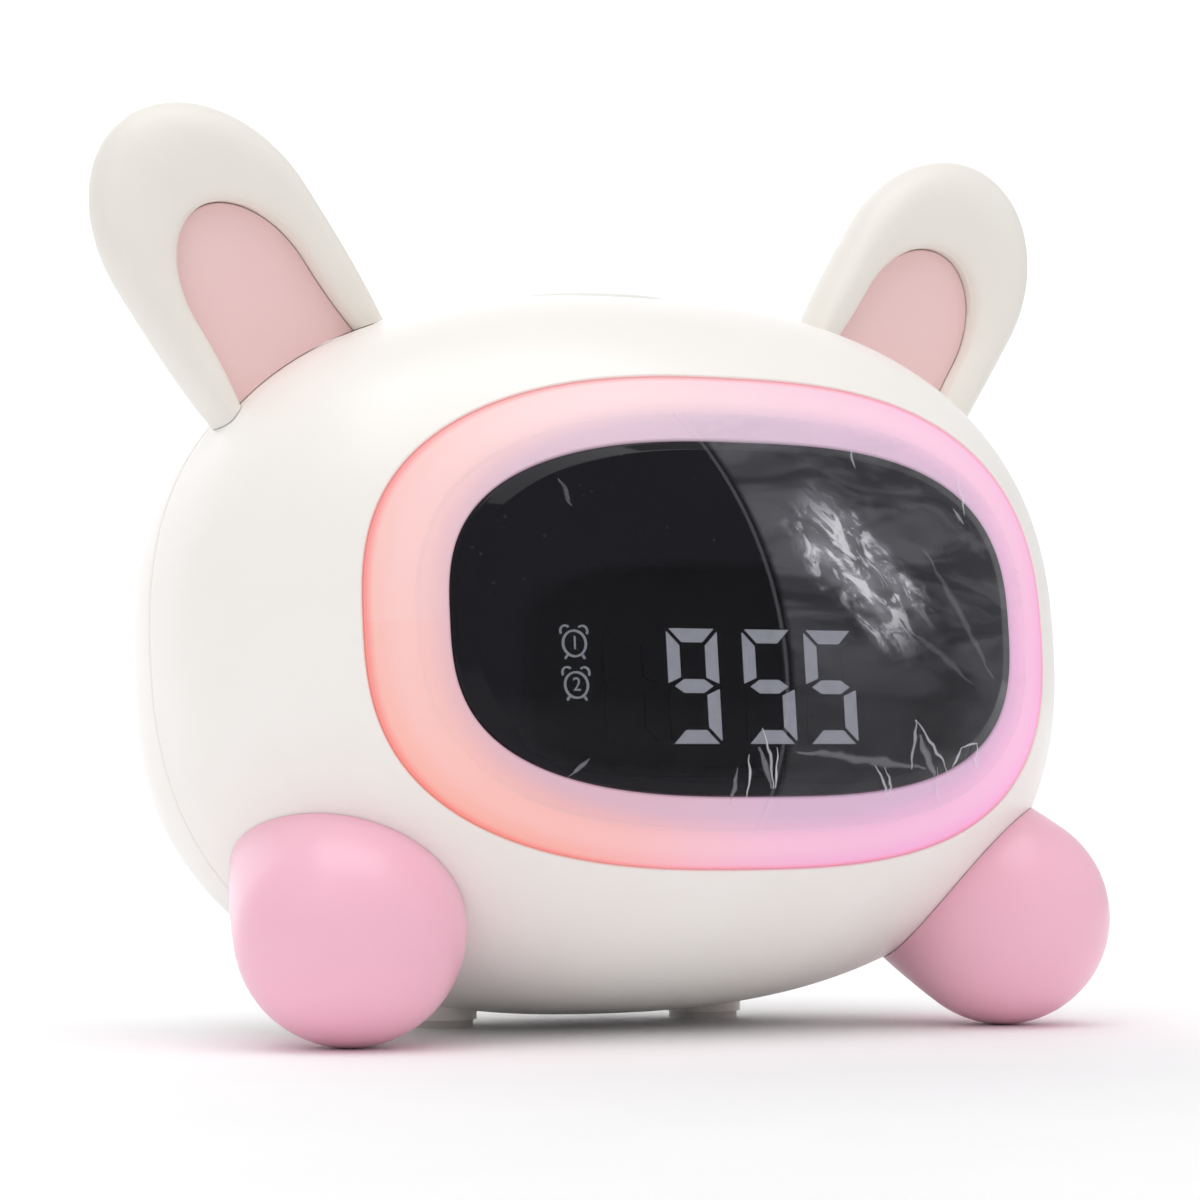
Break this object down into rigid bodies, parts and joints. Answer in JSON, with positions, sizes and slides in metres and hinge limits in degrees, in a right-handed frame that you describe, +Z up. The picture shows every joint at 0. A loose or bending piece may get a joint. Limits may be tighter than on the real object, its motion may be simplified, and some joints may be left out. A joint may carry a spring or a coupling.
{
  "type": "alarm clock with night light",
  "caption": "Ovoid bedside alarm clock with rabbit ears, two feet, a glowing ring round a dark digital display, a top press button and rear keys.",
  "frame": {"origin": "centre of the bounding box at the ground", "axes": "+Z up, the display faces -Y, +X to the right of someone facing the display"},
  "size_m": [0.169, 0.1082, 0.1424],
  "materials": {
    "case": "satin cream",
    "ear_panel": "matte dusty pink",
    "foot": "satin pink",
    "diffuser": "frosted, lit from behind",
    "dark_window": "smoked gloss",
    "clear_film": "clear crinkled film",
    "black_carrier": "matte black",
    "lit_sign": "lit white segments",
    "dark_sign": "unlit segments",
    "board": "printed circuit board",
    "lamp": "small lamp",
    "black_part": "moulded black",
    "steel": "plated steel",
    "key": "satin cream",
    "cell": "sleeved metal can",
    "pad": "soft pad"
  },
  "bodies": {
    "case": {"front_shell": "case", "rear_shell": "case", "left_ear": "case", "right_ear": "case", "left_ear_panel": "ear_panel", "right_ear_panel": "ear_panel", "left_foot": "foot", "right_foot": "foot", "light_ring": "diffuser", "display_lens": "dark_window", "lens_film": "clear_film", "display_carrier": "black_carrier", "lit_segments": "lit_sign", "alarm_signs": "lit_sign", "dark_segments": "dark_sign", "light_board": "board", "top_board": "board", "main_board": "board", "ring_lamps": "lamp", "top_switch": "black_part", "key_switches": "black_part", "battery_holder": "black_part", "speaker": "black_part", "shell_screws": "steel", "board_screws": "steel", "limb_screws": "steel", "charging_socket": "steel", "battery_cell": "cell", "rear_pads": "pad"},
    "top_button_body": {"top_button": "case"},
    "rear_key_outer_left_body": {"rear_key_outer_left": "key"},
    "rear_key_inner_left_body": {"rear_key_inner_left": "key"},
    "rear_key_inner_right_body": {"rear_key_inner_right": "key"},
    "rear_key_outer_right_body": {"rear_key_outer_right": "key"}
  },
  "joints": [
    {"name": "top_button_press", "type": "slide", "parent": "case", "child": "top_button_body", "axis": [0, -0.1089, -0.9941], "range_m": [0, 0.001], "stiffness_N_per_m": 600, "springref_m": -0.0005},
    {"name": "rear_key_outer_left_press", "type": "slide", "parent": "case", "child": "rear_key_outer_left_body", "axis": [0, -0.9941, 0.1089], "range_m": [0, 0.0008], "stiffness_N_per_m": 500, "springref_m": -0.0005},
    {"name": "rear_key_inner_left_press", "type": "slide", "parent": "case", "child": "rear_key_inner_left_body", "axis": [0, -0.9941, 0.1089], "range_m": [0, 0.0008], "stiffness_N_per_m": 500, "springref_m": -0.0005},
    {"name": "rear_key_inner_right_press", "type": "slide", "parent": "case", "child": "rear_key_inner_right_body", "axis": [0, -0.9941, 0.1089], "range_m": [0, 0.0008], "stiffness_N_per_m": 500, "springref_m": -0.0005},
    {"name": "rear_key_outer_right_press", "type": "slide", "parent": "case", "child": "rear_key_outer_right_body", "axis": [0, -0.9941, 0.1089], "range_m": [0, 0.0008], "stiffness_N_per_m": 500, "springref_m": -0.0005}
  ]
}
